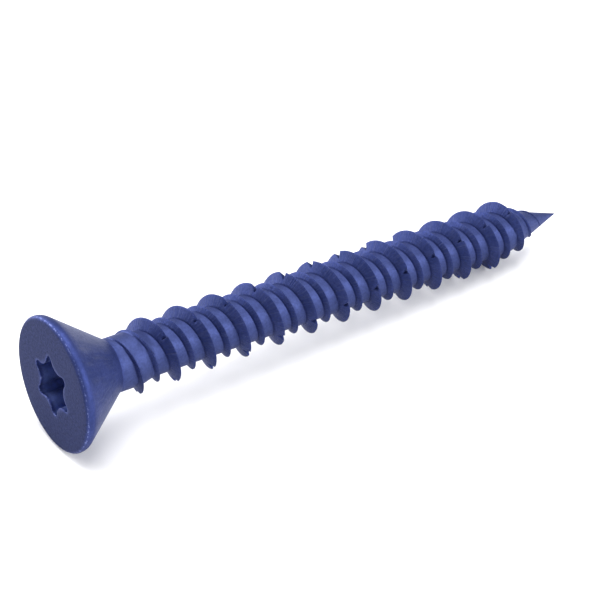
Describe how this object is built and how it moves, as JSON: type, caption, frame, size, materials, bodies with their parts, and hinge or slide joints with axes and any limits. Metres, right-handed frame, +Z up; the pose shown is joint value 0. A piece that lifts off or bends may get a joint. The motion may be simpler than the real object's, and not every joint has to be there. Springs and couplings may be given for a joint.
{
  "type": "concrete screw",
  "caption": "Flat countersunk concrete screw with a six-lobed drive recess, a coarse high-low thread with notched crests and a sharp point, in blue coated steel.",
  "frame": {"origin": "centre of the bounding box on the surface that the screw lies on", "axes": "+Z up, the screw lies along X with its point towards +X, dropped about 3.5 degrees because it rests on the head's rim and a crest near the point"},
  "size_m": [0.0574, 0.0122, 0.0121],
  "materials": {
    "blue_coating": "thin satin blue coating over steel, rubbed greyer on the head"
  },
  "bodies": {
    "root": {"concrete_screw": "blue_coating"}
  },
  "joints": []
}
